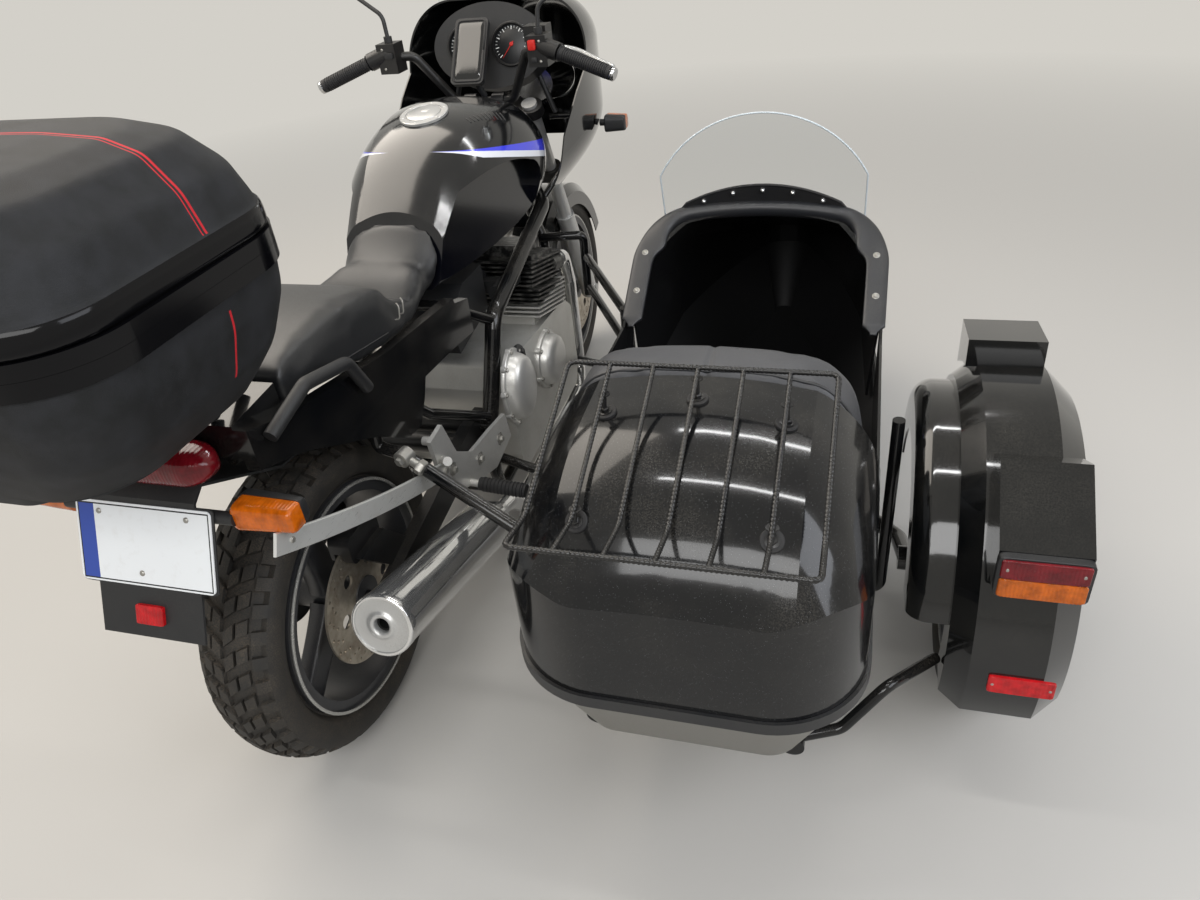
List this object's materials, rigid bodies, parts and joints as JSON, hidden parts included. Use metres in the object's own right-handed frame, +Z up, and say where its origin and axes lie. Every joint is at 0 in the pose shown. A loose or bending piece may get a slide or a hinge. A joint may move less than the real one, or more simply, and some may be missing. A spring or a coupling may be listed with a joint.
{
  "type": "motorcycle with right-hand sidecar",
  "caption": "Road motorcycle with a half fairing, rear luggage case and an open touring sidecar with screen, luggage rack and mudguard on its right-hand side.",
  "frame": {"origin": "on the ground, midway between the outfit's outermost faces left and right and front and rear", "axes": "+X to the right, towards the sidecar; +Y forwards; +Z up"},
  "size_m": [1.743, 2.3602, 1.3399],
  "materials": {
    "black_gloss": "gloss black paint",
    "black_fleck": "gloss black paint with fine metallic flecks",
    "frame_black": "satin black paint, dusty",
    "shell_grey": "beige grey underbody paint",
    "band_grey": "dark grey edge strip",
    "engine_silver": "satin cast aluminium",
    "alloy_bright": "brushed aluminium",
    "chrome": "bright chrome",
    "rim_grey": "dark grey cast wheel paint",
    "disc_steel": "ground steel with brown dust",
    "tyre": "worn tyre rubber",
    "rubber": "ribbed rubber",
    "bike_seat": "dark grey grained vinyl",
    "car_seat": "grey vinyl",
    "case_plastic": "textured dark grey plastic",
    "black_plastic": "matte black plastic",
    "gloss_plastic": "gloss black plastic",
    "lens_red": "red lens plastic",
    "lens_amber": "amber lens plastic",
    "clear": "clear acrylic sheet",
    "headlamp_glass": "clear lamp glass",
    "mirror_black": "black mirror shell",
    "plate_white": "white plate, left blank"
  },
  "bodies": {
    "chassis": {"bike_frame": "frame_black", "engine": "engine_silver", "engine_covers": "engine_silver", "carburettors": "black_plastic", "exhaust": "chrome", "swing_arm": "frame_black", "footrest_carriers": "alloy_bright", "peg_rubbers": "rubber", "fuel_tank": "black_gloss", "seat": "bike_seat", "tail_panels": "gloss_plastic", "rear_carrier": "frame_black", "rear_mudguard": "black_plastic", "number_plate": "plate_white", "tail_lamp": "lens_red", "indicators": "lens_amber", "top_case_base": "case_plastic", "fairing": "gloss_plastic", "headlamp": "headlamp_glass", "fairing_screen": "clear", "instrument_pod": "black_plastic", "sidecar_frame": "frame_black", "tub_lower": "shell_grey", "tub_upper": "black_fleck", "tub_band": "band_grey", "sidecar_seat": "car_seat", "cockpit_rim": "rubber", "sidecar_screen": "clear", "luggage_rack": "frame_black", "wheel_fender": "black_gloss", "fender_lenses": "lens_red"},
    "steering": {"fork": "frame_black", "fork_clamps": "frame_black", "handlebar": "frame_black", "grips": "rubber", "mirrors": "mirror_black", "phone_case": "black_plastic", "front_mudguard": "gloss_plastic"},
    "front_wheel": {"front_tyre": "tyre", "front_rim": "rim_grey", "front_discs": "disc_steel"},
    "rear_wheel": {"rear_tyre": "tyre", "rear_rim": "rim_grey", "rear_disc": "disc_steel"},
    "sidecar_wheel": {"sidecar_tyre": "tyre", "sidecar_rim": "rim_grey"},
    "top_case_lid": {"top_case_lid": "case_plastic"}
  },
  "joints": [
    {"name": "steering", "type": "hinge", "parent": "chassis", "child": "steering", "pos_m": [-0.4605, 0.84628, 0.28553], "axis": [0, -0.4384, 0.8988], "range_deg": [-28, 28]},
    {"name": "front_wheel_spin", "type": "hinge", "parent": "steering", "child": "front_wheel", "pos_m": [-0.4605, 0.87594, 0.3], "axis": [1, 0, 0], "continuous": true},
    {"name": "rear_wheel_spin", "type": "hinge", "parent": "chassis", "child": "rear_wheel", "pos_m": [-0.4605, -0.61906, 0.317], "axis": [1, 0, 0], "continuous": true},
    {"name": "sidecar_wheel_spin", "type": "hinge", "parent": "chassis", "child": "sidecar_wheel", "pos_m": [0.7745, -0.28906, 0.265], "axis": [1, 0, 0], "continuous": true},
    {"name": "top_case_lid_hinge", "type": "hinge", "parent": "chassis", "child": "top_case_lid", "pos_m": [-0.4605, -0.76506, 1.122], "axis": [-1, 0, 0], "range_deg": [0, 85]}
  ]
}
